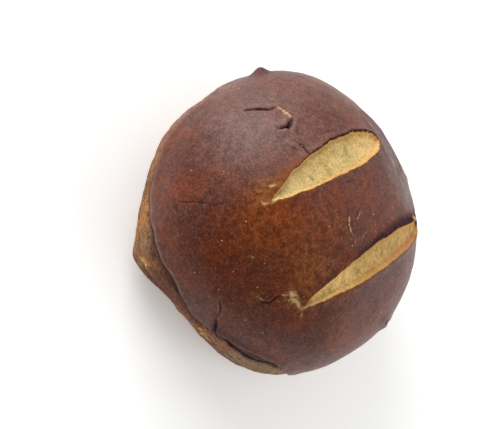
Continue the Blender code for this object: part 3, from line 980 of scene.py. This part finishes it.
def crumb_colour(paint):
    """Pale crumb, cream at the tips, with grey-green blotches, streaks, pores with painted shade, painted
    light and shade along the slashes, and orange-tan borders.
    """
    streaks = paint.noise(1.5 * MM, 4, stretch=(0.6, 1.1, 1), roughness=0.6)
    blotches = paint.noise(3.2 * MM, 4, roughness=0.6)
    pores = paint.noise(0.7 * MM, 2)
    colour = paint.mix(linear(CRUMB_TAN), linear(CRUMB_PALE), paint.span(streaks, 0.34, 0.6))
    along = paint.field("crumb_along")
    near_tip = paint.times(paint.span(along, 0.45, 0.15, 0, 0.6), paint.span(streaks, 0.3, 0.55, 0.4, 1))
    colour = paint.tint(colour, CRUMB_CREAM, near_tip)
    across = paint.calculate("ABSOLUTE", paint.field("crumb_across"), 0)
    middle = paint.times(paint.span(across, 0.85, 0.35), paint.span(blotches, 0.45, 0.62, 0, 0.95))
    middle = paint.times(middle, paint.span(streaks, 0.3, 0.6, 1, 0.5))
    colour = paint.tint(colour, CRUMB_GREY, middle)
    # Painted shade in the pores
    colour = paint.mix(colour, PORE_SHADE, paint.span(pores, 0.6, 0.74, 0, 0.22), "MULTIPLY")
    # Painted light at the first slash's blunt end and at the second one's tip, and painted shade towards the
    # second one's blunt end
    first = paint.mix(NO_CHANGE, FIRST_END_LIGHT, paint.span(along, 0.7, 0.9))
    second = paint.mix(SECOND_TIP_LIGHT, SECOND_END_SHADE, paint.span(along, 0.14, 0.5))
    colour = paint.mix(colour, paint.mix(first, second, paint.field("second_slash")), 1, "MULTIPLY")
    wavy = paint.calculate("ADD", paint.field("crumb_inside"), paint.span(blotches, 0.25, 0.75, -0.7, 0.7))
    border = paint.times(paint.span(wavy, 2, 0.1, 0, 0.7), paint.span(along, 0.1, 0.4, 0.4, 1))
    colour = paint.tint(colour, CRUMB_BORDER, border)
    colour = paint.tint(colour, CRUMB_SALMON, paint.times(paint.field("salmon"), 0.7))
    colour = speckled(paint, colour, paint.noise(0.6 * MM, 2, roughness=0.7), 0.85, 1.13)
    return paint.tint(colour, CRUMB_LINE, paint.span(paint.field("crumb_inside"), 0.25, 0.06, 0, 0.5))


def band_colour(paint):
    """Tan and brown layers round the side under the crust's fold, with golden, red and grey stretches, and
    painted shadow in the crevice under the fold.
    """
    layers = paint.noise(2.6 * MM, 4, stretch=(1, 1, 2), roughness=0.6)
    fine = paint.noise(0.8 * MM, 3, roughness=0.75)
    colour = paint.mix(linear(BAND_BROWN), linear(BAND_TAN), paint.span(layers, 0.3, 0.7))
    colour = toned(paint, colour, BAND_TONES, paint.span(layers, 0.3, 0.66, 0.35, 1))
    colour = speckled(paint, colour, fine, 0.66, 1.36)
    # Painted shadow in the crevice under the crust's fold, further down where the gap is deeper, and none
    # where the fold closes
    raised = paint.calculate("ADD", paint.field("above_fold"), paint.times(paint.field("gap"), 1.7))
    crevice = paint.mix_values(paint.span(raised, -4.2, -2.6, 0, 0.8), 0, paint.field("fold_end"))
    return paint.tint(colour, FOLD_CREVICE_SHADOW, crevice)


def roll_material():
    paint = Paint("baked_crust")
    ragged = paint.span(paint.noise(0.6 * MM, 3), 0.2, 0.8, -0.18, 0.18)
    crumb = paint.span(paint.calculate("ADD", paint.field("crumb_inside"), ragged), -0.02, 0.12)
    band = paint.span(paint.calculate("ADD", paint.field("above_fold"), ragged), 0.02, -0.3)
    colour = paint.mix(crust_colour(paint), band_colour(paint), band)
    # Painted shadow in the cracks
    colour = paint.tint(colour, CRACK_SHADOW, paint.span(paint.field("crack"), 0.3, 0.8))
    colour = paint.mix(colour, crumb_colour(paint), crumb)
    broken = paint.span(paint.noise(1.1 * MM, 3, roughness=0.6), 0.34, 0.56, 0.3, 1)
    torn = paint.times(paint.field("torn"), broken)
    shade = paint.mix(linear(TORN_TAN), linear(TORN_PALE), paint.noise(0.7 * MM, 2))
    colour = paint.mix(colour, shade, paint.span(torn, 0.06, 0.85))
    paint.set("Base Color", colour)
    dull = paint.calculate("MAXIMUM", paint.field("shade"), paint.field("halo"))
    shine = paint.mix_values(0.34, 0.13, paint.field("matt"))
    paint.set("Specular IOR Level", paint.mix_values(shine, 0.06, dull))
    grain = paint.noise(0.6 * MM, 4, roughness=0.7)
    rough = paint.span(grain, 0.3, 0.7, 0.32, 0.5)
    for roughness, place in ((0.75, dull), (0.8, band), (0.92, crumb)):
        rough = paint.mix_values(rough, roughness, place)
    paint.set("Roughness", rough)
    paint.bump(grain, 0.2 * MM, 0.75)
    return paint.material


def grain_material():
    paint = Paint("pale_grain")
    shade = paint.noise(0.5 * MM, 2)
    paint.set("Base Color", paint.mix(linear(TORN_TAN), linear(GRAIN_PALE), shade))
    paint.set("Roughness", paint.span(shade, 0.3, 0.7, 0.5, 0.7))
    return paint.material


def add_object(name, made, material):
    """A smooth-shaded mesh object made from a bmesh."""
    mesh = bpy.data.meshes.new(name)
    made.to_mesh(mesh)
    made.free()
    mesh.shade_smooth()
    mesh.materials.append(material)
    thing = bpy.data.objects.new(name, mesh)
    bpy.context.scene.collection.objects.link(thing)
    return thing


def make_roll():
    ball = unit_ball()
    directions = directions_of(ball)
    places, _ = roll_points(directions)
    for vertex, place in zip(ball.verts, places):
        vertex.co = Vector(place)
    roll = add_object("pretzel_roll", ball, roll_material())
    for name, values in surface_fields(directions).items():
        saved = roll.data.attributes.new(name, "FLOAT", "POINT")
        saved.data.foreach_set("value", np.ascontiguousarray(values, dtype=np.float32))
    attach(roll, "root")
    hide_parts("roll")


def grain_directions():
    """Where the grains sit: first the ones that can be made out, then faint ones over the upper crust."""
    chance = np.random.default_rng(GRAIN_SEED)
    azimuths = chance.uniform(0, 360, FAINT_GRAIN_COUNT)
    lifts = np.degrees(np.arcsin(chance.uniform(FAINT_GRAIN_LOWEST, 1, FAINT_GRAIN_COUNT)))
    radii = np.concatenate(
        [np.full(len(GRAIN_PLACES), GRAIN_RADIUS), chance.uniform(*FAINT_GRAIN_RADII, FAINT_GRAIN_COUNT)]
    )
    places = list(GRAIN_PLACES) + list(zip(azimuths, lifts))
    return np.array([direction_of(*place) for place in places]), radii


def make_grains():
    directions, radii = grain_directions()
    places, outward = roll_points(directions)
    inside, _, _, _ = crumb_reach(strayed(smooth_dough(directions)[0]), directions[:, 2] > 0)
    grains = bmesh.new()
    flat = Matrix.Diagonal((1, 1, GRAIN_FLATNESS, 1))
    for place, up, radius, in_crumb in zip(places, outward, radii, inside > -GRAIN_TO_CRUMB):
        if in_crumb:
            continue
        turn = Vector(up).to_track_quat("Z", "Y").to_matrix().to_4x4()
        where = Matrix.Translation(Vector(place)) @ turn @ flat
        bmesh.ops.create_icosphere(grains, subdivisions=2, radius=radius, matrix=where)
    thing = add_object("grains", grains, grain_material())
    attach(thing, "root")


def make_floor():
    floor = bmesh.new()
    bmesh.ops.create_grid(floor, x_segments=1, y_segments=1, size=FLOOR_REACH)
    paint = Paint("pale_floor")
    paint.set("Base Color", linear(FLOOR_WHITE))
    paint.set("Roughness", 0.9)
    paint.set("Specular IOR Level", 0.1)
    paint.set("Emission Color", linear(FLOOR_WHITE))
    paint.set("Emission Strength", FLOOR_GLOW)
    thing = add_object("floor", floor, paint.material)
    thing.location.z = -FLOOR_DROP


def add_softbox(name, place, size, power):
    """A square soft light that faces the roll's middle."""
    light = bpy.data.lights.new(name, "AREA")
    light.size = size
    light.energy = power
    lamp = bpy.data.objects.new(name, light)
    lamp.location = ROLL_MIDDLE + Vector(place)
    lamp.rotation_euler = Vector(place).to_track_quat("Z", "Y").to_euler()
    bpy.context.scene.collection.objects.link(lamp)


def make_light():
    world = bpy.data.worlds.new("white_studio")
    world.use_nodes = True
    tree = world.node_tree
    direction = tree.nodes.new("ShaderNodeTexCoord").outputs["Generated"]
    parts = tree.nodes.new("ShaderNodeSeparateXYZ")
    tree.links.new(direction, parts.inputs["Vector"])
    fading = tree.nodes.new("ShaderNodeMapRange")
    fading.interpolation_type = "SMOOTHSTEP"
    tree.links.new(parts.outputs["Y"], fading.inputs["Value"])
    for name, value in zip(RANGE_SOCKETS, SURROUND_FADE + SURROUND_STRENGTHS):
        fading.inputs[name].default_value = value
    tree.links.new(fading.outputs["Result"], tree.nodes["Background"].inputs["Strength"])
    tree.nodes["Background"].inputs["Color"].default_value = (1, 1, 1, 1)
    bpy.context.scene.world = world
    for softbox in SOFTBOXES:
        add_softbox(*softbox)


def make_camera():
    """The photograph's view: steep from above, turned so that the roll's upward axis shows nearly level."""
    lift = radians(VIEW_LIFT)
    back = Vector((0, -cos(lift), sin(lift)))
    right = Vector((1, 0, 0))
    upright = Matrix((right, back.cross(right), back)).transposed()
    rolled = upright @ Matrix.Rotation(radians(90 - UP_AXIS_ANGLE), 3, "Z")
    focal = PIXELS_PER_METRE * VIEW_DISTANCE
    aside = ROLL_PIXEL[0] - PHOTO_SIZE[0] / 2
    above = PHOTO_SIZE[1] / 2 - ROLL_PIXEL[1]
    to_roll = Vector((aside, above, -focal))
    aimed = rolled @ to_roll.rotation_difference(Vector((0, 0, -1))).to_matrix()
    camera = bpy.data.cameras.new("camera")
    camera.sensor_width = SENSOR_WIDTH
    camera.lens = focal / PHOTO_SIZE[0] * SENSOR_WIDTH
    camera.clip_start = 0.01
    holder = bpy.data.objects.new("camera", camera)
    holder.matrix_world = Matrix.Translation(ROLL_MIDDLE + back * VIEW_DISTANCE) @ aimed.to_4x4()
    bpy.context.scene.collection.objects.link(holder)
    bpy.context.scene.camera = holder


bpy.context.scene.view_settings.view_transform = "Standard"
make_camera()
make_light()
make_floor()
make_roll()
make_grains()
